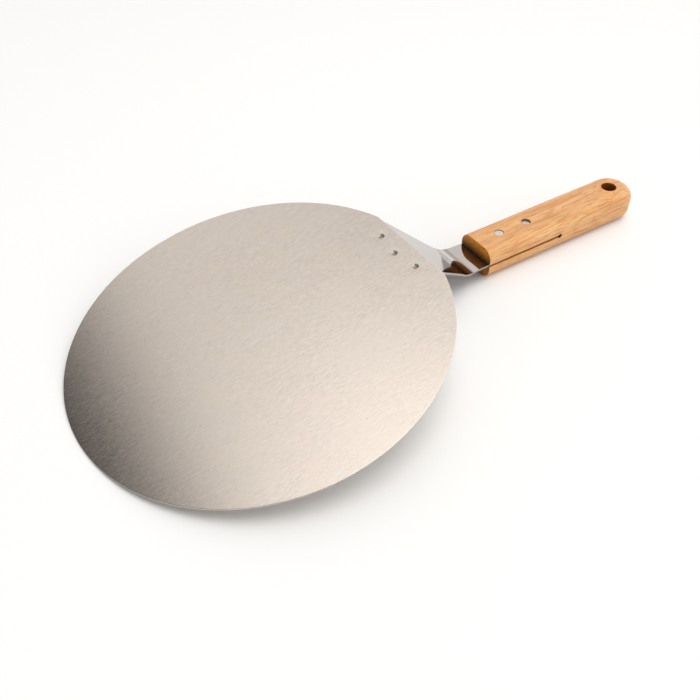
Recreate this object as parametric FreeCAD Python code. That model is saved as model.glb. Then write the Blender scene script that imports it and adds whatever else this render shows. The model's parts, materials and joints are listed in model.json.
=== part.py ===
import FreeCAD, Part
import math
import os

# Round pizza peel with a riveted, cranked bracket and a wooden handle.
#
# Units are millimetres. The peel lies at rest on a table, smooth side of the
# blade up: it stands on the front edge of its blade and on the flat underside
# of its handle. Z = 0 is the table, +X runs from the blade to the handle's
# hang hole, and the XZ plane is the peel's plane of symmetry. The origin is
# on the table, halfway along the peel.

# ---- driving dimensions ----------------------------------------------------
OVERALL_LENGTH = 455.5

BLADE_RADIUS = 127.0           # a 10 inch round blade
BLADE_SHEET = 1.0
BLADE_TILT = 10.7              # degrees, rising towards the handle
BLADE_CUT = 121.2              # straight rear edge, from the blade's centre
BLADE_CORNER_RADIUS = 3.0
BLADE_EDGE_ROUND = 0.2

BRACKET_SHEET = 1.5
FAN_FRONT_X = 222.0            # plan positions are from the blade's front edge
FAN_FRONT_HALF_WIDTH = 22.0
FAN_WIDEST_X = 239.0
FAN_WIDEST_HALF_WIDTH = 37.8
FAN_REAR_CORNER_RADIUS = 7.0
FAN_FRONT_CORNER_RADIUS = 14.0
NECK_X = 283.4                 # where the fan's flare meets the tang's taper
NECK_HALF_WIDTH = 16.2
NECK_CORNER_RADIUS = 70.0
TANG_END_HALF_WIDTH = 14.0
TANG_END_CORNER_RADIUS = 3.0
TOP_BEND_X = 244.0
TOP_BEND_RADIUS = 3.0          # each bend radius is that of its hollow side
LOWER_BEND_X = 284.8
LOWER_BEND_RADIUS = 19.0
BRACKET_EDGE_ROUND = 0.2

RIVET_RADIUS = 2.5
RIVET_DISH_RADIUS = 2.4
RIVET_DISH_FLOOR_RADIUS = 0.95
RIVET_DISH_DEPTH = 0.9
RIVET_HEAD_RADIUS = 4.0
RIVET_HEAD_HEIGHT = 1.3
RIVET_HEAD_FLAT_RADIUS = 0.6   # left by the pressing tool at the head's crown
RIVET_SPACING = 19.9
SIDE_RIVET_FROM_CENTRE = 111.2
MIDDLE_RIVET_FROM_CENTRE = 108.2

HANDLE_LENGTH = 150.9
HANDLE_THICKNESS = 24.1
HANDLE_NECK_HALF_WIDTH = 16.4
HANDLE_END_HALF_WIDTH = 16.9
HANDLE_END_RADIUS = 16.3
HANDLE_EDGE_ROUND = 8.3
HANDLE_NECK_EDGE_EASE = 0.4
HANG_HOLE_RADIUS = 5.7
HANG_HOLE_EDGE_ROUND = 0.5
HANG_HOLE_FROM_NECK = 131.9

KERF_HEIGHT = 12.6             # middle of the saw cut above the underside
KERF_WIDTH = 1.7
KERF_DEPTH = 67.8
KERF_END_HOLE_RADIUS = 1.7
TANG_IN_HANDLE = 60.0

PIN_RADIUS = 3.5
PIN_EDGE_CHAMFER = 0.3
FRONT_PIN_FROM_NECK = 20.8
REAR_PIN_FROM_NECK = 46.5
FRONT_PIN_SINK = 0.4           # how far each end lies below the wood
REAR_PIN_SINK = 1.3

# ---- derived positions -----------------------------------------------------
FRONT_X = -OVERALL_LENGTH / 2
HANDLE_X = OVERALL_LENGTH / 2 - HANDLE_LENGTH
TILT = math.radians(BLADE_TILT)
TANG_TOP_Z = KERF_HEIGHT + BRACKET_SHEET / 2

os.makedirs("parts", exist_ok=True)


# ---- helpers ---------------------------------------------------------------
def from_front(x):
    """X of a plan position measured from the blade's front edge."""
    return FRONT_X + x


def underside_of_blade(x):
    """Height of the blade's lower face above the table, x from its front."""
    return x * math.tan(TILT)


def rounded_wire(corners):
    """Closed wire in the XY plane through (x, y, corner radius) corners."""
    stations = []
    count = len(corners)
    for i in range(count):
        x, y, radius = corners[i]
        corner = FreeCAD.Vector(x, y, 0)
        if radius == 0:
            stations.append((corner, None, corner))
            continue
        before = FreeCAD.Vector(corners[i - 1][0], corners[i - 1][1], 0)
        after = FreeCAD.Vector(corners[(i + 1) % count][0], corners[(i + 1) % count][1], 0)
        back = (before - corner).normalize()
        ahead = (after - corner).normalize()
        half_angle = back.getAngle(ahead) / 2
        tangent_length = radius / math.tan(half_angle)
        start = corner + back * tangent_length
        end = corner + ahead * tangent_length
        reach = radius / math.sin(half_angle) - radius
        middle = corner + (back + ahead).normalize() * reach
        stations.append((start, middle, end))
    edges = []
    for i in range(count):
        start, middle, end = stations[i]
        next_start = stations[(i + 1) % count][0]
        if middle is not None:
            edges.append(Part.Arc(start, middle, end).toShape())
        edges.append(Part.makeLine(end, next_start))
    return Part.Wire(edges)


def mirrored(half):
    """Corners of one side of a plan outline, followed by the other side's."""
    other = [(x, -y, radius) for x, y, radius in reversed(half)]
    return half + other


def plate(wire, bottom, top):
    """Solid that fills a flat outline between two heights."""
    solid = Part.Face(wire).extrude(FreeCAD.Vector(0, 0, top - bottom))
    solid.translate(FreeCAD.Vector(0, 0, bottom))
    return solid


def upright_cylinder(radius, x, y, bottom, top):
    """Vertical round solid between two heights."""
    foot = FreeCAD.Vector(x, y, bottom)
    return Part.makeCylinder(radius, top - bottom, foot)


def on_blade(shape):
    """Moves a shape made around the flat blade's centre to the tilted blade.

    In the flat blade's own frame Z = 0 is its lower face.
    """
    placed = shape.copy()
    placed.translate(FreeCAD.Vector(BLADE_RADIUS, 0, 0))
    origin = FreeCAD.Vector(0, 0, 0)
    placed.rotate(origin, FreeCAD.Vector(0, 1, 0), -BLADE_TILT)
    placed.translate(FreeCAD.Vector(FRONT_X, 0, 0))
    return placed


def rivet_places():
    """Name and position of each rivet around the flat blade's centre."""
    return [
        ("rivet_left", SIDE_RIVET_FROM_CENTRE, RIVET_SPACING),
        ("rivet_middle", MIDDLE_RIVET_FROM_CENTRE, 0.0),
        ("rivet_right", SIDE_RIVET_FROM_CENTRE, -RIVET_SPACING),
    ]


def pin_places():
    """Name, X and sink of each handle pin."""
    return [
        ("handle_pin_front", HANDLE_X + FRONT_PIN_FROM_NECK, FRONT_PIN_SINK),
        ("handle_pin_rear", HANDLE_X + REAR_PIN_FROM_NECK, REAR_PIN_SINK),
    ]


# ---- blade -----------------------------------------------------------------
def blade_outline():
    """Circle with a straight rear edge and slightly eased corners."""
    ease = BLADE_CORNER_RADIUS
    # each corner arc touches the cut and, from inside, the big circle
    centre_x = BLADE_CUT - ease
    centre_y = math.sqrt((BLADE_RADIUS - ease) ** 2 - centre_x ** 2)
    grow = BLADE_RADIUS / (BLADE_RADIUS - ease)
    touch_x = centre_x * grow
    touch_y = centre_y * grow
    half_turn = math.atan2(touch_y - centre_y, touch_x - centre_x) / 2
    middle_x = centre_x + ease * math.cos(half_turn)
    middle_y = centre_y + ease * math.sin(half_turn)

    def at(x, y):
        return FreeCAD.Vector(x, y, 0)

    rim = Part.Arc(at(touch_x, touch_y), at(-BLADE_RADIUS, 0), at(touch_x, -touch_y))
    right = Part.Arc(at(touch_x, -touch_y), at(middle_x, -middle_y), at(BLADE_CUT, -centre_y))
    cut = Part.makeLine(at(BLADE_CUT, -centre_y), at(BLADE_CUT, centre_y))
    left = Part.Arc(at(BLADE_CUT, centre_y), at(middle_x, middle_y), at(touch_x, touch_y))
    return Part.Wire([rim.toShape(), right.toShape(), cut, left.toShape()])


def make_blade():
    """Flat round sheet with three rivet holes near its straight rear edge."""
    sheet = plate(blade_outline(), 0, BLADE_SHEET)
    rim = [edge for edge in sheet.Edges if edge.BoundBox.ZLength < 0.01]
    sheet = sheet.makeFillet(BLADE_EDGE_ROUND, rim)
    for _, x, y in rivet_places():
        sheet = sheet.cut(upright_cylinder(RIVET_RADIUS, x, y, -1, BLADE_SHEET + 1))
    return on_blade(sheet)


# ---- bracket ---------------------------------------------------------------
def bracket_side():
    """Closed side view of the bent sheet, in the XZ plane."""
    fan_x = FAN_FRONT_X - 2
    upper = [
        (fan_x, underside_of_blade(fan_x)),
        (TOP_BEND_X, underside_of_blade(TOP_BEND_X)),
        (LOWER_BEND_X, TANG_TOP_Z),
        (HANDLE_X - FRONT_X + TANG_IN_HANDLE, TANG_TOP_Z),
    ]
    drop = upper[1][1] - upper[2][1]
    neck_slope = -math.atan2(drop, LOWER_BEND_X - TOP_BEND_X)
    slopes = [TILT, TILT, neck_slope, 0.0, 0.0]
    upper_radii = [0, TOP_BEND_RADIUS + BRACKET_SHEET, LOWER_BEND_RADIUS, 0]
    lower_radii = [0, TOP_BEND_RADIUS, LOWER_BEND_RADIUS + BRACKET_SHEET, 0]
    corners = []
    lower_corners = []
    for i in range(len(upper)):
        x, z = upper[i]
        mean = (slopes[i] + slopes[i + 1]) / 2
        reach = BRACKET_SHEET / math.cos((slopes[i] - slopes[i + 1]) / 2)
        below = (x + reach * math.sin(mean), z - reach * math.cos(mean))
        corners.append((from_front(x), z, upper_radii[i]))
        lower_corners.append((from_front(below[0]), below[1], lower_radii[i]))
    wire = rounded_wire(corners + lower_corners[::-1])
    wire.rotate(FreeCAD.Vector(0, 0, 0), FreeCAD.Vector(1, 0, 0), 90)
    return wire


def bracket_plan():
    """Plan outline of the bracket: fan, flare, neck and tapering tang."""
    half = [
        (HANDLE_X + TANG_IN_HANDLE, TANG_END_HALF_WIDTH, TANG_END_CORNER_RADIUS),
        (from_front(NECK_X), NECK_HALF_WIDTH, NECK_CORNER_RADIUS),
        (from_front(FAN_WIDEST_X), FAN_WIDEST_HALF_WIDTH, FAN_REAR_CORNER_RADIUS),
        (from_front(FAN_FRONT_X), FAN_FRONT_HALF_WIDTH, FAN_FRONT_CORNER_RADIUS),
    ]
    return rounded_wire(mirrored(half))


def cut_edges(sheet):
    """Edges where the sheet's upright cut walls meet its two broad faces."""
    found = []
    for edge in sheet.Edges:
        walls = 0
        broads = 0
        for face in sheet.ancestorsOfType(edge, Part.Face):
            u, v = face.Surface.parameter(edge.valueAt(edge.FirstParameter))
            normal = face.normalAt(u, v)
            if abs(normal.z) < 0.001:
                walls += 1
            elif abs(normal.y) < 0.001:
                broads += 1
        if walls == 1 and broads == 1:
            found.append(edge)
    return found


def make_bracket():
    """One bent sheet: fan under the blade, sloping neck, tang in the handle."""
    side = Part.Face(bracket_side())
    half_width = FAN_WIDEST_HALF_WIDTH + 5
    sheet = side.extrude(FreeCAD.Vector(0, 2 * half_width, 0))
    sheet.translate(FreeCAD.Vector(0, -half_width, 0))
    sheet = sheet.common(plate(bracket_plan(), -5, 60))
    sheet = sheet.makeFillet(BRACKET_EDGE_ROUND, cut_edges(sheet))
    for _, x, y in rivet_places():
        sheet = sheet.cut(on_blade(upright_cylinder(RIVET_RADIUS, x, y, -5, 5)))
    for _, x, _ in pin_places():
        sheet = sheet.cut(upright_cylinder(PIN_RADIUS, x, 0, 0, HANDLE_THICKNESS))
    return sheet


# ---- rivets ----------------------------------------------------------------
def make_rivet(x, y):
    """Rivet with a dished end flush with the blade and a low head below."""
    under = -BRACKET_SHEET
    head_bottom = under - RIVET_HEAD_HEIGHT
    rim_z = BLADE_SHEET
    floor_z = BLADE_SHEET - RIVET_DISH_DEPTH

    # the head is a cap of a sphere with a small flat on its crown
    dome = (RIVET_HEAD_RADIUS ** 2 + RIVET_HEAD_HEIGHT ** 2) / (2 * RIVET_HEAD_HEIGHT)

    def at(r, z):
        return FreeCAD.Vector(r, 0, z)

    def on_dome(r):
        return at(r, head_bottom + dome - math.sqrt(dome ** 2 - r ** 2))

    crown = on_dome(RIVET_HEAD_FLAT_RADIUS)
    outline = [
        crown,
        at(0, crown.z),
        at(0, floor_z),
        at(RIVET_DISH_FLOOR_RADIUS, floor_z),
        at(RIVET_DISH_RADIUS, rim_z),
        at(RIVET_RADIUS, rim_z),
        at(RIVET_RADIUS, under),
        at(RIVET_HEAD_RADIUS, under),
    ]
    edges = []
    for i in range(len(outline) - 1):
        edges.append(Part.makeLine(outline[i], outline[i + 1]))
    cap = Part.Arc(outline[-1], on_dome(RIVET_HEAD_RADIUS / 2), crown)
    edges.append(cap.toShape())
    half_section = Part.Face(Part.Wire(edges))
    rivet = half_section.revolve(at(0, 0), FreeCAD.Vector(0, 0, 1), 360)
    rivet.translate(FreeCAD.Vector(x, y, 0))
    return on_blade(rivet)


# ---- handle ----------------------------------------------------------------
def handle_plan():
    """Plan outline of the handle: square at the neck, round at the far end."""
    half = [
        (HANDLE_X, HANDLE_NECK_HALF_WIDTH, 0),
        (OVERALL_LENGTH / 2, HANDLE_END_HALF_WIDTH, HANDLE_END_RADIUS),
    ]
    return rounded_wire(mirrored(half))


def rounded_handle_bar():
    """Handle blank with all long edges rounded and a flat-cut neck end."""
    bar = plate(handle_plan(), 0, HANDLE_THICKNESS)
    long_edges = []
    for edge in bar.Edges:
        box = edge.BoundBox
        if box.ZLength < 0.01 and box.XMax > HANDLE_X + 1:
            long_edges.append(edge)
    bar = bar.makeFillet(HANDLE_EDGE_ROUND, long_edges)
    neck_edges = [edge for edge in bar.Edges if edge.BoundBox.XMax < HANDLE_X + 0.01]
    return bar.makeFillet(HANDLE_NECK_EDGE_EASE, neck_edges)


def saw_kerf():
    """Saw cut from the neck end, closed by a small round cross hole."""
    length = KERF_DEPTH + 1
    corner = FreeCAD.Vector(HANDLE_X - 1, -30, KERF_HEIGHT - KERF_WIDTH / 2)
    slot = Part.makeBox(length, 60, KERF_WIDTH, corner)
    start = FreeCAD.Vector(HANDLE_X + KERF_DEPTH, -30, KERF_HEIGHT)
    hole = Part.makeCylinder(KERF_END_HOLE_RADIUS, 60, start, FreeCAD.Vector(0, 1, 0))
    return slot.fuse(hole)


def make_handle():
    """One-piece wooden bar, slit for the tang and drilled for pins and hook."""
    bar = rounded_handle_bar()
    hang_x = HANDLE_X + HANG_HOLE_FROM_NECK
    bar = bar.cut(upright_cylinder(HANG_HOLE_RADIUS, hang_x, 0, -1, HANDLE_THICKNESS + 1))
    mouths = []
    for edge in bar.Edges:
        box = edge.BoundBox
        round_mouth = box.ZLength < 0.01 and abs(box.XLength - 2 * HANG_HOLE_RADIUS) < 0.1
        if round_mouth and abs(box.Center.x - hang_x) < 0.1:
            mouths.append(edge)
    bar = bar.makeFillet(HANG_HOLE_EDGE_ROUND, mouths)
    for _, x, _ in pin_places():
        bar = bar.cut(upright_cylinder(PIN_RADIUS, x, 0, -1, HANDLE_THICKNESS + 1))
    return bar.cut(saw_kerf())


# ---- handle pins -----------------------------------------------------------
def make_pin(x, sink):
    """Plain round pin through handle and tang, its ends just below the wood."""
    pin = upright_cylinder(PIN_RADIUS, x, 0, sink, HANDLE_THICKNESS - sink)
    ends = [edge for edge in pin.Edges if edge.BoundBox.ZLength < 0.01]
    return pin.makeChamfer(PIN_EDGE_CHAMFER, ends)


# ---- the assembly ----------------------------------------------------------
def write(node, shape):
    """Writes one sub-part as a single solid."""
    solids = shape.Solids
    assert len(solids) == 1, node
    assert solids[0].isValid(), node
    solids[0].exportStep("parts/" + node + ".step")


write("blade", make_blade())
write("bracket", make_bracket())
for rivet_name, rivet_x, rivet_y in rivet_places():
    write(rivet_name, make_rivet(rivet_x, rivet_y))
write("handle", make_handle())
for pin_name, pin_x, pin_sink in pin_places():
    write(pin_name, make_pin(pin_x, pin_sink))
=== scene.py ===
import json
import math

import bpy
from mathutils import Matrix, Vector, noise
from mathutils.geometry import delaunay_2d_cdt


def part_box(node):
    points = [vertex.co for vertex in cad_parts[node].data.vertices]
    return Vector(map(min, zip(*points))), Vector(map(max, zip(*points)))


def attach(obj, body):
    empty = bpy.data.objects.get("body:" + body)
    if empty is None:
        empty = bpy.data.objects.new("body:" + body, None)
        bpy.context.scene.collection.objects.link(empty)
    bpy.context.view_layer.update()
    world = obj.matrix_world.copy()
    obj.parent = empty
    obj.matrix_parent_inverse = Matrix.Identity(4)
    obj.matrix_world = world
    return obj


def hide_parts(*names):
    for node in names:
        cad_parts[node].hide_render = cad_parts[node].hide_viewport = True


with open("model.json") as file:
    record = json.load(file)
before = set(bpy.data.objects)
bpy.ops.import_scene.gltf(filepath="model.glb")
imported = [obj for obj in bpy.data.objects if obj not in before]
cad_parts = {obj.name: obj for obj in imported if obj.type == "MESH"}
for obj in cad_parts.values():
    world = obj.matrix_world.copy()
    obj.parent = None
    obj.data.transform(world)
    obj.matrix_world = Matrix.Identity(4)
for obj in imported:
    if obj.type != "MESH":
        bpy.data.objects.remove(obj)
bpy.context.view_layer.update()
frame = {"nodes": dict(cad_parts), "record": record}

MM = 0.001
scene = bpy.context.scene
mounts = {m["name"]: m for m in frame["record"]["mounts"]}

# the blade's plane, from the record's flat face on its smooth side; the blade's
# own axes are ALONG (towards the handle), across (+Y) and UP
BLADE_TOP = Vector(mounts["blade_top"]["pos_m"])
BLADE_UP = Vector(mounts["blade_top"]["axis"]).normalized()
BLADE_ALONG = Vector((BLADE_UP.z, 0.0, -BLADE_UP.x))

BLADE_RADIUS = 126.98 * MM
BLADE_SHEET = 1.0 * MM
BLADE_CUT = 121.2 * MM            # the straight rear edge, from the blade's centre
CORNER_EASE = 3.0 * MM
RIM_ROUND = 0.2 * MM
RIVET_RADIUS = 2.5 * MM
RIVETS = ((111.2 * MM, 19.9 * MM), (108.2 * MM, 0.0), (111.2 * MM, -19.9 * MM))

# places on the handle that its wood and the tang's steel depend on
HANDLE_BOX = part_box("handle")
HANDLE_TOP = HANDLE_BOX[1][2]
NECK_X = HANDLE_BOX[0][0]
TANG_HALF_SHEET = 0.75 * MM
KERF_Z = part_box("bracket")[0][2] + TANG_HALF_SHEET
KERF_HALF_WIDTH = 0.85 * MM
KERF_END_X = NECK_X + 67.8 * MM
KERF_END_RADIUS = 1.7 * MM
HANG_HOLE = Vector(mounts["hang_hole"]["pos_m"])
HANG_HOLE_RADIUS = mounts["hang_hole"]["dims"]["r_mm"] * MM
PIN_RADIUS = 3.5 * MM
PINS = []
for pin in ("handle_pin_front", "handle_pin_rear"):
    low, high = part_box(pin)
    PINS.append(((low[0] + high[0]) / 2, (low[1] + high[1]) / 2, 0.0))


def rgb(r, g, b):
    return (r, g, b, 1.0)


# --------------------------------------------------------------- node helpers
class Graph:
    """Adds nodes to a tree; inputs are values or other nodes' sockets."""

    def __init__(self, tree):
        self.tree = tree

    def put(self, node, socket, value):
        target = node.inputs[socket]
        if isinstance(value, bpy.types.NodeSocket):
            self.tree.links.new(value, target)
        else:
            target.default_value = value

    def add(self, kind, sockets=(), output=0, **settings):
        node = self.tree.nodes.new("ShaderNode" + kind)
        for key, value in settings.items():
            setattr(node, key, value)
        for socket, value in dict(sockets).items():
            self.put(node, socket, value)
        return node.outputs[output]

    def math(self, operation, a, b=0.5, c=0.5):
        return self.add("Math", {0: a, 1: b, 2: c}, operation=operation)

    def range(self, value, low, high, to_low=0.0, to_high=1.0, smooth=False):
        kind = "SMOOTHSTEP" if smooth else "LINEAR"
        sockets = {0: value, 1: low, 2: high, 3: to_low, 4: to_high}
        return self.add("MapRange", sockets, interpolation_type=kind, clamp=True)

    def part(self, vector, axis):
        return self.add("SeparateXYZ", {0: vector}, output=axis)

    def dot(self, vector, direction):
        sockets = {0: vector, 1: tuple(direction)}
        return self.add("VectorMath", sockets, output="Value", operation="DOT_PRODUCT")


class Surface(Graph):
    """The nodes of one material, around its Principled BSDF."""

    def __init__(self, name):
        self.material = bpy.data.materials.new(name)
        self.material.use_nodes = True
        super().__init__(self.material.node_tree)

    def place(self):
        """Object coordinates: metres in the shared frame."""
        return self.add("TexCoord", output="Object")

    def stretch(self, vector, scale=(1, 1, 1), rotation=(0, 0, 0), location=(0, 0, 0)):
        sockets = {"Vector": vector, "Location": location, "Rotation": rotation, "Scale": scale}
        return self.add("Mapping", sockets)

    def noise(self, vector, scale, detail=2.0, rough=0.5, distortion=0.0, output=0):
        sockets = {
            "Vector": vector, "Scale": scale, "Detail": detail,
            "Roughness": rough, "Distortion": distortion,
        }
        return self.add("TexNoise", sockets, output=output)

    def streaks(self, vector, scale, detail, rough, distortion=0.0, **moved):
        """Noise with its own fineness, in marks per metre, along each axis."""
        return self.noise(self.stretch(vector, scale, **moved), 1.0, detail, rough, distortion)

    def mix(self, factor, a, b, blend="MIX"):
        node = self.tree.nodes.new("ShaderNodeMix")
        node.data_type = "RGBA"
        node.blend_type = blend
        for socket, value in ((0, factor), (6, a), (7, b)):
            self.put(node, socket, value)
        return node.outputs[2]

    def away(self, vector, centre, axes):
        """Distance from an upright (axes "XY") or crosswise ("XZ") line."""
        keep = tuple(1.0 if axis in axes else 0.0 for axis in "XYZ")
        moved = self.add("VectorMath", {0: vector, 1: tuple(centre)}, operation="SUBTRACT")
        flat = self.add("VectorMath", {0: moved, 1: keep}, operation="MULTIPLY")
        return self.add("VectorMath", {0: flat}, output="Value", operation="LENGTH")

    def bump(self, height, strength, distance):
        return self.add("Bump", {"Height": height, "Strength": strength, "Distance": distance})

    def finish(self, **sockets):
        shader = self.tree.nodes["Principled BSDF"]
        for key, value in sockets.items():
            self.put(shader, key.replace("_", " "), value)
        return self.material


# ------------------------------------------------------------------ materials
def brushed_blade():
    """Sheet steel with a short, soft brushed grain along the peel.

    Over the grain lie a few longer lines, faint warm and cool clouds, dull
    stains and small dark specks.
    """
    g = Surface("blade_brushed_steel")
    at = g.place()
    brushed = (0, 0, math.radians(-2.0))
    strokes = g.streaks(at, (260, 1050, 240), 3.0, 0.62, 0.35, rotation=brushed)
    hairs = g.streaks(at, (120, 3600, 100), 3.0, 0.6, rotation=brushed)
    lines = g.streaks(at, (16, 620, 12), 3.0, 0.6, location=(3, 1, 0))
    scratches = g.streaks(at, (70, 1900, 60), 1.0, 0.4, 0.6, rotation=(0, 0, 0.06))
    clouds = g.noise(at, 26.0, 4.0, 0.6)
    casts = g.noise(g.stretch(at, location=(4, 9, 2)), 48.0, 3.0, 0.6)
    stains = g.noise(g.stretch(at, location=(7, 3, 5)), 34.0, 5.0, 0.7, 0.8)
    specks = g.noise(at, 420.0, 1.0, 0.4)
    grain = g.math("MULTIPLY_ADD", hairs, 0.30, g.math("MULTIPLY", strokes, 0.60))
    grain = g.math("MULTIPLY_ADD", lines, 0.10, grain)
    nick = g.range(scratches, 0.69, 0.76)

    furrow, ridge = rgb(0.602, 0.531, 0.471), rgb(0.758, 0.684, 0.623)
    warm, cool = rgb(0.71, 0.618, 0.553), rgb(0.655, 0.62, 0.555)
    stain, bare, speck = rgb(0.63, 0.50, 0.385), rgb(0.84, 0.80, 0.75), rgb(0.30, 0.25, 0.21)
    color = g.mix(g.range(grain, 0.36, 0.64), furrow, ridge)
    color = g.mix(g.range(casts, 0.35, 0.65, 0.0, 0.55), color, warm)
    color = g.mix(g.range(clouds, 0.40, 0.68, 0.0, 0.30), color, cool)
    color = g.mix(g.range(stains, 0.63, 0.75, 0.0, 0.35), color, stain)
    color = g.mix(g.math("MULTIPLY", nick, 0.30), color, bare)
    color = g.mix(g.range(specks, 0.765, 0.80, 0.0, 0.3), color, speck)

    rough = g.range(grain, 0.36, 0.64, 0.13, 0.20)
    rough = g.math("MULTIPLY_ADD", clouds, 0.05, rough)
    height = g.math("MULTIPLY_ADD", nick, -0.4, grain)
    across = g.add("Tangent", direction_type="UV_MAP", uv_map="across")
    return g.finish(
        Base_Color=color, Roughness=rough, Metallic=1.0,
        Anisotropic=0.45, Tangent=across,
        Normal=g.bump(height, 0.28, 0.05 * MM),
    )


def polished_bracket():
    """Bright rolled sheet steel, with painted shade darkening the tang, and dusty inside the
    kerf.
    """
    g = Surface("bracket_polished_steel")
    at = g.place()
    along = g.part(at, "X")
    rolled = g.streaks(at, (26, 800, 26), 3.0, 0.55)
    smear = g.noise(at, 60.0, 4.0, 0.6, 0.8)
    haze = g.noise(g.stretch(at, location=(2, 6, 1)), 150.0, 3.0, 0.6)
    specks = g.range(g.noise(at, 1500.0, 2.0, 0.5), 0.70, 0.78)

    dim, bright = rgb(0.400, 0.367, 0.355), rgb(0.425, 0.391, 0.377)
    smeared, speck, dust = rgb(0.375, 0.342, 0.325), rgb(0.40, 0.36, 0.33), rgb(0.26, 0.12, 0.038)
    color = g.mix(g.range(rolled, 0.3, 0.7), dim, bright)
    color = g.mix(g.range(smear, 0.45, 0.7, 0.0, 0.25), color, smeared)
    color = g.mix(g.math("MULTIPLY", specks, 0.4), color, speck)
    # painted shade: the tang's colour is darkened to 0.80 of itself, so it mirrors the handle's
    # end darker
    tang_shade_factor = g.range(along, NECK_X - 20 * MM, NECK_X - 13 * MM, 1.0, 0.80, smooth=True)
    tang_shade_factor = g.add("CombineXYZ", {0: tang_shade_factor, 1: tang_shade_factor, 2: tang_shade_factor})
    color = g.mix(1.0, color, tang_shade_factor, "MULTIPLY")
    ragged_x = g.math("MULTIPLY_ADD", haze, 1.6 * MM, along)
    dusty = g.range(ragged_x, NECK_X + 0.7 * MM, NECK_X + 1.5 * MM)
    color = g.mix(dusty, color, dust)

    rough = g.range(smear, 0.3, 0.7, 0.035, 0.085)
    rough = g.math("MULTIPLY_ADD", haze, 0.03, rough)
    rough = g.math("MAXIMUM", rough, g.math("MULTIPLY", dusty, 0.75))
    return g.finish(
        Base_Color=color, Roughness=rough, Metallic=g.math("SUBTRACT", 1.0, dusty),
        Normal=g.bump(rolled, 0.06, 0.04 * MM),
    )


def rivet_steel():
    """Satin pressed steel; painted shade darkens it, in patches, towards the bottom of each dish.
    """
    g = Surface("rivet_satin_steel")
    at = g.place()
    grain = g.noise(at, 2600.0, 3.0, 0.6)
    patches = g.noise(at, 900.0, 2.0, 0.6)
    from_blade = g.add("VectorMath", {0: at, 1: tuple(BLADE_TOP)}, operation="SUBTRACT")
    deep = g.range(g.dot(from_blade, BLADE_UP), -0.25 * MM, -0.85 * MM)
    # painted shade: the deeper in the dish, the darker the colour, in patches
    dish_shade_mask = g.math("MULTIPLY", deep, g.range(patches, 0.3, 0.65, 0.3, 0.75))

    dim, bright, dish_shade = rgb(0.40, 0.36, 0.32), rgb(0.60, 0.55, 0.50), rgb(0.24, 0.19, 0.155)
    color = g.mix(dish_shade_mask, g.mix(grain, dim, bright), dish_shade)
    rough = g.range(grain, 0.3, 0.7, 0.33, 0.46)
    rough = g.math("MULTIPLY_ADD", dish_shade_mask, 0.12, rough)
    return g.finish(
        Base_Color=color, Roughness=rough, Metallic=1.0,
        Normal=g.bump(grain, 0.3, 0.03 * MM),
    )


def pin_aluminium():
    """Cut ends of soft aluminium rod: facing marks, small dents, a grey middle, a painted
    highlight round the edge.
    """
    g = Surface("pin_satin_aluminium")
    at = g.place()
    facing = g.streaks(at, (2600, 300, 300), 3.0, 0.6, rotation=(0, 0, 0.7))
    dents = g.noise(at, 620.0, 2.0, 0.5)
    radius = g.math("MINIMUM", *(g.away(at, pin, "XY") for pin in PINS))

    dim, bright = rgb(0.46, 0.445, 0.435), rgb(0.58, 0.565, 0.55)
    dent, grey, rim_highlight = rgb(0.45, 0.42, 0.40), rgb(0.40, 0.385, 0.385), rgb(0.62, 0.605, 0.595)
    color = g.mix(facing, dim, bright)
    color = g.mix(g.range(dents, 0.55, 0.72, 0.0, 0.5), color, dent)
    middle = g.range(radius, 1.0 * MM, 2.3 * MM, 0.35, 0.0, smooth=True)
    color = g.mix(middle, color, grey)
    # painted highlight: a lighter ring just inside the pin's edge
    rim = g.range(radius, PIN_RADIUS - 0.6 * MM, PIN_RADIUS - 0.2 * MM, 0.0, 0.55)
    color = g.mix(rim, color, rim_highlight)
    return g.finish(
        Base_Color=color, Roughness=g.range(facing, 0.3, 0.7, 0.26, 0.42), Metallic=1.0,
        Normal=g.bump(g.math("ADD", facing, dents), 0.4, 0.07 * MM),
    )


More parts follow.
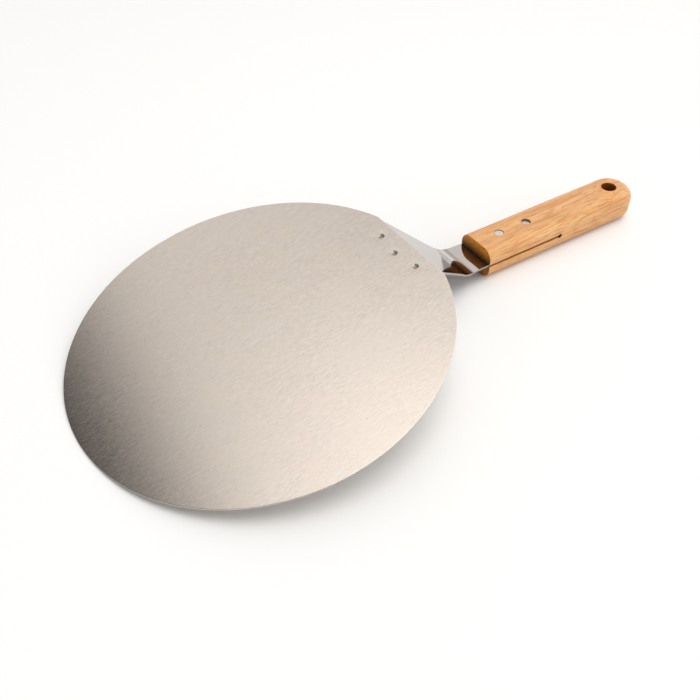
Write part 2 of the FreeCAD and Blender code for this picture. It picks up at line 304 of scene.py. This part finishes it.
def wood_figure(g, at):
    """Colour of the long grain, with the fibre, fine grain and pores for its bump."""
    # the grain bends around a faint knot near the hang hole
    knot = (NECK_X + 124 * MM, -7.5 * MM, HANDLE_TOP)
    near_knot = g.range(g.away(at, knot, "XY"), 1.0 * MM, 9.0 * MM, 1.0, 0.0, smooth=True)
    bent = g.mix(0.008, at, g.noise(at, 14.0, 2.0, 0.5, output="Color"), "ADD")
    pushed = g.add("VectorMath", {0: bent, 1: (0.0, 4.0 * MM, 0.0)}, operation="ADD")
    off_axis = (0.0, math.radians(1.5), math.radians(-2.5))
    along = g.stretch(g.mix(near_knot, bent, pushed), rotation=off_axis)

    bands = g.streaks(along, (3, 75, 55), 4.0, 0.6, 0.5)
    fibre = g.streaks(along, (16, 520, 520), 4.0, 0.65)
    fine = g.streaks(along, (90, 2600, 2600), 3.0, 0.6)
    strokes = g.streaks(along, (75, 950, 950), 2.0, 0.5, 0.3, location=(5, 2, 1))
    stripes = g.streaks(along, (22, 330, 300), 3.0, 0.5, location=(2, 8, 4))
    pores = g.streaks(along, (130, 1700, 1700), 1.0, 0.3, location=(1, 7, 3))
    pore = g.range(pores, 0.665, 0.72)
    blotch = g.noise(at, 30.0, 3.0, 0.5)

    dark_band, pale_band = rgb(0.545, 0.245, 0.075), rgb(0.735, 0.410, 0.170)
    pale_fibre, brown_stripe = rgb(0.765, 0.46, 0.21), rgb(0.50, 0.185, 0.042)
    brown_stroke, fine_brown = rgb(0.475, 0.172, 0.036), rgb(0.64, 0.33, 0.13)
    open_pore, oil_blotch = rgb(0.36, 0.13, 0.035), rgb(0.67, 0.32, 0.10)
    knot_orange = rgb(0.76, 0.33, 0.07)
    color = g.mix(g.range(bands, 0.34, 0.66), dark_band, pale_band)
    color = g.mix(g.range(fibre, 0.3, 0.7, 0.0, 0.5), color, pale_fibre)
    color = g.mix(g.range(stripes, 0.51, 0.66, 0.0, 0.74), color, brown_stripe)
    color = g.mix(g.range(strokes, 0.52, 0.62, 0.0, 0.74), color, brown_stroke)
    color = g.mix(g.range(fine, 0.35, 0.65, 0.0, 0.25), color, fine_brown)
    color = g.mix(g.math("MULTIPLY", pore, 0.42), color, open_pore)
    color = g.mix(g.range(blotch, 0.4, 0.7, 0.0, 0.22), color, oil_blotch)
    color = g.mix(g.math("MULTIPLY", near_knot, 0.5), color, knot_orange)
    return color, fibre, fine, pore


def wood_end(g, at, dots):
    """How far a point is on the neck's end face, and the end grain's colour.

    End grain drinks the oil, so it is dark; its near black band next to the tang, and the darker
    part under the tang, are painted shade.
    """
    facing_neck = g.dot(g.add("NewGeometry", output="Normal"), (-1, 0, 0))
    at_neck = g.range(g.part(at, "X"), NECK_X + 0.6 * MM, NECK_X + 1.0 * MM, 1.0, 0.0)
    end = g.math("MULTIPLY", g.range(facing_neck, 0.75, 0.97), at_neck)

    # partly the end grain's own colour and partly painted sheen: both colours are kept bright and
    # golden
    brown, golden_sheen = rgb(0.75, 0.215, 0.010), rgb(1.0, 0.43, 0.02)
    open_dot, tang_contact_shade = rgb(0.16, 0.045, 0.006), rgb(0.028, 0.009, 0.003)
    rings = g.streaks(at, (1, 260, 700), 3.0, 0.6, rotation=(math.radians(8), 0, 0))
    color = g.mix(g.range(rings, 0.35, 0.65), brown, golden_sheen)
    color = g.mix(g.range(dots, 0.55, 0.7, 0.0, 0.5), color, open_dot)
    # painted shade: near black from a little over the tang down to it, and darker under the tang
    height = g.part(at, "Z")
    shade_over_tang = g.range(height, KERF_Z + 9 * MM, KERF_Z + 1 * MM, 0.0, 0.95)
    shade_under_tang = g.range(height, KERF_Z - 0.5 * MM, KERF_Z - 2 * MM, 1.0, 0.55)
    return end, g.mix(g.math("MULTIPLY", shade_over_tang, shade_under_tang), color, tang_contact_shade)


def brown_and_shade_cuts(g, at, color):
    """Browns the walls of the saw kerf and the pin holes, and paints shade into the kerf's end
    hole and down the hang hole.
    """
    kerf_brown, kerf_end_shade = rgb(0.42, 0.19, 0.050), rgb(0.035, 0.012, 0.005)
    pin_hole_brown = rgb(0.26, 0.11, 0.032)
    hang_hole_top_shade, hang_hole_deep_shade = rgb(0.25, 0.070, 0.002), rgb(0.13, 0.035, 0.002)
    ragged = g.math("MULTIPLY_ADD", g.noise(at, 800.0, 2.0, 0.6), 0.3 * MM, -0.15 * MM)

    def near(way, full, none, most=1.0):
        return g.range(g.math("ADD", way, ragged), full, none, most, 0.0)

    off_kerf = g.math("ABSOLUTE", g.math("SUBTRACT", g.part(at, "Z"), KERF_Z))
    in_kerf = near(off_kerf, KERF_HALF_WIDTH + 0.03 * MM, KERF_HALF_WIDTH + 0.2 * MM)
    before_end = g.range(g.part(at, "X"), KERF_END_X, KERF_END_X + 0.3 * MM, 1.0, 0.0)
    in_kerf = g.math("MULTIPLY", in_kerf, before_end)
    color = g.mix(g.math("MULTIPLY", in_kerf, 0.92), color, kerf_brown)

    # painted shade: the kerf's end hole is near black
    off_kerf_end = g.away(at, (KERF_END_X, 0.0, KERF_Z), "XZ")
    in_kerf_end = near(off_kerf_end, KERF_END_RADIUS, KERF_END_RADIUS + 0.12 * MM)
    color = g.mix(g.math("MULTIPLY", in_kerf_end, 0.97), color, kerf_end_shade)

    for pin in PINS:
        off_pin = g.away(at, pin, "XY")
        by_pin = near(off_pin, PIN_RADIUS + 0.05 * MM, PIN_RADIUS + 0.25 * MM, 0.75)
        color = g.mix(by_pin, color, pin_hole_brown)

    # painted shade: the hang hole's wall darkens with depth
    off_hang = g.away(at, HANG_HOLE, "XY")
    in_hang = near(off_hang, HANG_HOLE_RADIUS + 0.2 * MM, HANG_HOLE_RADIUS + 0.5 * MM)
    depth = g.range(g.part(at, "Z"), HANDLE_TOP, HANDLE_TOP - 14 * MM)
    hang_hole_shade = g.mix(depth, hang_hole_top_shade, hang_hole_deep_shade)
    return g.mix(g.math("MULTIPLY", in_hang, 0.98), color, hang_hole_shade)


def handle_wood():
    """Sanded and oiled hardwood, its grain slightly off the handle's axis.

    Broad bands, fine fibre, many short brown vessel strokes, a faint knot, dark end grain with
    painted shade by the tang, and browned saw and drill cuts with painted shade in the kerf's end
    hole and down the hang hole.
    """
    g = Surface("handle_hardwood")
    at = g.place()
    color, fibre, fine, pore = wood_figure(g, at)
    dots = g.noise(at, 1700.0, 1.0, 0.4)
    end, end_color = wood_end(g, at, dots)
    color = brown_and_shade_cuts(g, at, g.mix(end, color, end_color))

    height = g.math("MULTIPLY_ADD", fibre, 0.5, g.math("MULTIPLY", fine, 0.3))
    height = g.math("MULTIPLY_ADD", pore, -0.9, height)
    height = g.math("MULTIPLY_ADD", g.math("MULTIPLY", end, dots), -1.2, height)
    rough = g.range(fibre, 0.3, 0.7, 0.38, 0.52)
    rough = g.math("MULTIPLY_ADD", pore, 0.2, rough)
    rough = g.math("MULTIPLY_ADD", end, 0.15, rough)
    return g.finish(
        Base_Color=color, Roughness=rough, Metallic=0.0,
        Normal=g.bump(height, 0.5, 0.12 * MM),
    )


def floor_paper():
    """Matte white studio paper."""
    g = Surface("floor_paper")
    tooth = g.noise(g.place(), 900.0, 3.0, 0.6)
    color = g.mix(tooth, rgb(0.82, 0.82, 0.82), rgb(0.84, 0.84, 0.84))
    return g.finish(Base_Color=color, Roughness=0.9, Normal=g.bump(tooth, 0.05, 0.1 * MM))


# ---------------------------------------------------------------- blade piece
OUTLINE_STEPS = 340               # around the circular part of the rim
CORNER_STEPS = 5                  # around each eased rear corner
REAR_EDGE_STEPS = 20
RIM_STEPS = 4                     # in each of the rim's two quarter rounds
SUPPORT_GAP = 0.25 * MM           # to a loop inside the rim that keeps the shading flat
HOLE_STEPS = 56
RINGS = 8                         # of points around each rivet, where the sheet is pressed in
RING_GAP = 0.75 * MM
RING_STEPS = 40
GRID_PITCH = 4.0 * MM             # of the points over the rest of the sheet
GRID_ROW = GRID_PITCH * 0.866
GRID_HALF_COUNT = 34
RIM_CLEARANCE = 3.0 * MM
RIVET_CLEARANCE = 9.5 * MM
SWELL_HEIGHT = 0.07 * MM
SWELLS_PER_METRE = (11, 9)
SWELL_SLICE = 4.2                 # where the noise is cut
PRESS_DEPTH = 0.06 * MM
PRESS_REACH = 2.2 * MM
UV_PER_METRE = 4
SHARP_ANGLE = math.radians(40)


def arc(x, y, radius, start, end, steps):
    """Points from turn start to turn end, both included."""
    turns = [start + (end - start) * i / steps for i in range(steps + 1)]
    return [Vector((x + radius * math.cos(a), y + radius * math.sin(a))) for a in turns]


def blade_loop(inset):
    """Outline of the blade around its centre, moved inwards by inset."""
    ease = CORNER_EASE - inset
    corner_x = BLADE_CUT - CORNER_EASE
    corner_y = math.sqrt((BLADE_RADIUS - CORNER_EASE) ** 2 - corner_x ** 2)
    turn = math.atan2(corner_y, corner_x)
    points = arc(0, 0, BLADE_RADIUS - inset, turn, math.tau - turn, OUTLINE_STEPS)
    points += arc(corner_x, -corner_y, ease, -turn, 0, CORNER_STEPS)[1:]
    for i in range(1, REAR_EDGE_STEPS):
        y = corner_y * (2 * i / REAR_EDGE_STEPS - 1)
        points.append(Vector((BLADE_CUT - inset, y)))
    points += arc(corner_x, corner_y, ease, 0, turn, CORNER_STEPS)[:-1]
    return points


def sheet_wave(x, y):
    """Gentle unevenness of thin rolled sheet, none at the rim, pressed in at the rivets."""
    outwards = max(math.hypot(x, y) / BLADE_RADIUS, x / BLADE_CUT)
    inner = 1 - min(1.0, outwards) ** 4
    swell = noise.noise(Vector((x * SWELLS_PER_METRE[0], y * SWELLS_PER_METRE[1], SWELL_SLICE)))
    press = 0.0
    for rx, ry in RIVETS:
        reach = math.hypot(x - rx, y - ry) - RIVET_RADIUS
        press += math.exp(-((reach / PRESS_REACH) ** 2))
    return SWELL_HEIGHT * swell * inner - PRESS_DEPTH * press


def loop_edges(start, count):
    return [(start + i, start + (i + 1) % count) for i in range(count)]


def sheet_points():
    """Points of one broad face, the edges it must keep, and its rivet holes' indices."""
    points = blade_loop(RIM_ROUND)
    count = len(points)
    edges = loop_edges(0, count)
    points += blade_loop(RIM_ROUND + SUPPORT_GAP)
    edges += loop_edges(count, count)
    holes = []
    for rx, ry in RIVETS:
        start = len(points)
        points += arc(rx, ry, RIVET_RADIUS, 0, math.tau, HOLE_STEPS)[:-1]
        edges += loop_edges(start, HOLE_STEPS)
        holes.append(range(start, start + HOLE_STEPS))
    for rx, ry in RIVETS:
        for ring in range(1, RINGS + 1):
            radius = RIVET_RADIUS + ring * RING_GAP
            shift = math.tau / RING_STEPS * 0.5 * (ring % 2)
            points += arc(rx, ry, radius, shift, shift + math.tau, RING_STEPS)[:-1]
    rows = int(BLADE_RADIUS / GRID_ROW) + 1
    for j in range(-rows, rows + 1):
        for i in range(-GRID_HALF_COUNT, GRID_HALF_COUNT + 1):
            p = Vector(((i + 0.5 * (j % 2)) * GRID_PITCH, j * GRID_ROW))
            in_circle = p.length < BLADE_RADIUS - RIM_CLEARANCE
            in_rear = p.x < BLADE_CUT - RIM_CLEARANCE
            from_rivets = min(math.hypot(p.x - rx, p.y - ry) for rx, ry in RIVETS)
            if in_circle and in_rear and from_rivets > RIVET_CLEARANCE:
                points.append(p)
    return points, edges, holes, count


def on_sheet(centre):
    """Whether a point of the flat outline is steel, not a rivet hole or outside."""
    if centre.x > BLADE_CUT - RIM_ROUND or centre.length > BLADE_RADIUS - RIM_ROUND:
        return False
    return all(math.hypot(centre.x - rx, centre.y - ry) > RIVET_RADIUS for rx, ry in RIVETS)


def rim_profile():
    """Inset and drop of the rim: a quarter round, a flat and another quarter round."""
    profile = []
    for i in range(1, RIM_STEPS + 1):
        a = math.pi / 2 * i / RIM_STEPS
        profile.append((RIM_ROUND * (1 - math.sin(a)), RIM_ROUND * (math.cos(a) - 1)))
    return profile + [(inset, -BLADE_SHEET - drop) for inset, drop in reversed(profile)]


def build_blade():
    points, edges, holes, count = sheet_points()
    flat, _, triangles, sources = delaunay_2d_cdt(points, edges, [], 0, 1e-9)[:4]
    where = {old: new for new, olds in enumerate(sources) for old in olds}
    triangles = [f for f in triangles if on_sheet(sum((flat[i] for i in f), Vector((0, 0))) / 3)]
    n = len(flat)
    verts = []
    for level in (0.0, -BLADE_SHEET):
        for p in flat:
            verts.append((p.x, p.y, level + sheet_wave(p.x, p.y)))
    faces = [tuple(f) for f in triangles]
    faces += [tuple(n + i for i in reversed(f)) for f in triangles]

    def band(upper, lower):
        for i in range(len(upper)):
            j = (i + 1) % len(upper)
            faces.append((upper[i], lower[i], lower[j], upper[j]))

    previous = [where[i] for i in range(count)]
    bottom = [n + i for i in previous]
    for inset, drop in rim_profile():
        start = len(verts)
        verts += [(p.x, p.y, drop) for p in blade_loop(inset)]
        ring = list(range(start, start + count))
        band(previous, ring)
        previous = ring
    band(previous, bottom)
    for hole in holes:
        # walked the other way round, so that the wall faces the rivet
        wall = [where[i] for i in reversed(hole)]
        band(wall, [n + i for i in wall])

    mesh = bpy.data.meshes.new("blade_sheet")
    mesh.from_pydata(verts, [], faces)
    uv = mesh.uv_layers.new(name="across")
    for loop in mesh.loops:
        co = mesh.vertices[loop.vertex_index].co
        uv.data[loop.index].uv = (co.y * UV_PER_METRE + 0.5, co.x * UV_PER_METRE + 0.5)
    axes = Matrix((BLADE_ALONG, Vector((0.0, 1.0, 0.0)), BLADE_UP)).transposed().to_4x4()
    mesh.transform(Matrix.Translation(BLADE_TOP) @ axes)
    mesh.validate()
    mesh.shade_smooth()
    mesh.set_sharp_from_angle(angle=SHARP_ANGLE)
    mesh.materials.append(brushed_blade())
    blade = bpy.data.objects.new("blade_sheet", mesh)
    scene.collection.objects.link(blade)
    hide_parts("blade")
    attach(blade, "root")


def paint(names, material):
    for name in names:
        mesh = frame["nodes"][name].data
        mesh.materials.clear()
        mesh.materials.append(material)


build_blade()
paint(["bracket"], polished_bracket())
paint(["rivet_left", "rivet_middle", "rivet_right"], rivet_steel())
paint(["handle"], handle_wood())
paint(["handle_pin_front", "handle_pin_rear"], pin_aluminium())

# ---------------------------------------------------------------------- stage
FLOOR_REACH = 6.0
DARK_ROOM = (-0.981, 0.086, -0.174)          # the way towards the dark room on the left
TANG_MIRROR = (0.515, 0.575, 0.636)          # the way that the flat tang reflects
LEAST_LIGHT = 0.03
BACKDROP_LIGHT = 0.86                        # blends with the far floor
TENT_WHITE = rgb(1.0, 0.985, 0.965)
LAMP_PLACE = (0.20, -0.25, 1.5)
LAMP_SIZE = 1.1
LAMP_WATTS = 6.3
LAMP_WHITE = (1.0, 0.99, 0.97)
CAMERA_PLACE = (-0.27058, -0.36995, 0.39271)
CAMERA_TURN, CAMERA_TILT, CAMERA_ROLL = (math.radians(a) for a in (-32.78, 43.63, 0.21))
CAMERA_LENS = 43.9
CAMERA_SENSOR = 36.0


def add_floor():
    r = FLOOR_REACH
    mesh = bpy.data.meshes.new("floor")
    mesh.from_pydata([(-r, -r, 0), (r, -r, 0), (r, r, 0), (-r, r, 0)], [], [(0, 1, 2, 3)])
    mesh.materials.append(floor_paper())
    floor = bpy.data.objects.new("floor", mesh)
    scene.collection.objects.link(floor)


def studio_world():
    """A white tent, open to a dark room on the left.

    The steel mirrors it, so its light depends only on the direction it comes from.
    """
    world = bpy.data.worlds.new("studio")
    world.use_nodes = True
    background = world.node_tree.nodes["Background"]
    g = Graph(world.node_tree)
    way = g.add("TexCoord", output="Generated")
    right, back, up = (g.part(way, axis) for axis in "XYZ")

    # dark in the room, light in front of it and again well beyond it
    room = g.dot(way, DARK_ROOM)
    tent = g.range(room, 0.14, -0.035, smooth=True)
    beyond = g.range(room, 0.36, 0.64, 0.0, 0.75, smooth=True)
    level = g.math("ADD", tent, beyond)

    overhead = g.range(up, 0.70, 0.94, 0.84, 1.75, smooth=True)
    right_fold = g.range(right, 0.12, 0.26, 1.0, 0.87, smooth=True)
    right_most = g.range(up, 0.40, 0.56, 1.36, 1.56, smooth=True)
    far_right = g.range(right, 0.28, 0.42, 1.0, right_most, smooth=True)
    front = g.range(back, -0.15, -0.60, 1.0, 1.35, smooth=True)
    skirt = g.range(up, 0.42, 0.12, 1.0, 1.55, smooth=True)
    patch = g.range(g.dot(way, TANG_MIRROR), 0.983, 0.994, 1.0, 1.42, smooth=True)
    high = g.range(up, 0.755, 0.80, smooth=True)
    left = g.range(right, 0.08, -0.02, 0.0, 0.14)
    dim_left = g.math("SUBTRACT", 1.0, g.math("MULTIPLY", high, left))
    for factor in (overhead, right_fold, far_right, front, skirt, patch, dim_left):
        level = g.math("MULTIPLY", level, factor)
    level = g.math("ADD", level, LEAST_LIGHT)

    seen = g.add("LightPath", output="Is Camera Ray")
    shown = g.add("Mix", {0: seen, 2: level, 3: BACKDROP_LIGHT}, data_type="FLOAT")
    g.put(background, "Strength", shown)
    g.put(background, "Color", TENT_WHITE)
    scene.world = world


def add_lamp():
    """One soft round lamp overhead, which the steel doesn't mirror."""
    data = bpy.data.lights.new("overhead", "AREA")
    data.shape = "DISK"
    data.size = LAMP_SIZE
    data.energy = LAMP_WATTS
    data.color = LAMP_WHITE
    lamp = bpy.data.objects.new("overhead", data)
    scene.collection.objects.link(lamp)
    place = Vector(LAMP_PLACE)
    turn = (-place).to_track_quat("-Z", "Y").to_matrix().to_4x4()
    lamp.matrix_world = Matrix.Translation(place) @ turn
    lamp.visible_glossy = False


def add_camera():
    data = bpy.data.cameras.new("camera")
    data.sensor_width = CAMERA_SENSOR
    data.lens = CAMERA_LENS
    data.clip_start = 0.01
    camera = bpy.data.objects.new("camera", data)
    scene.collection.objects.link(camera)
    camera.matrix_world = (
        Matrix.Translation(Vector(CAMERA_PLACE))
        @ Matrix.Rotation(CAMERA_TURN, 4, "Z")
        @ Matrix.Rotation(math.pi / 2 - CAMERA_TILT, 4, "X")
        @ Matrix.Rotation(-CAMERA_ROLL, 4, "Z")
    )
    scene.camera = camera


add_floor()
studio_world()
add_lamp()
add_camera()
scene.view_settings.view_transform = "Standard"
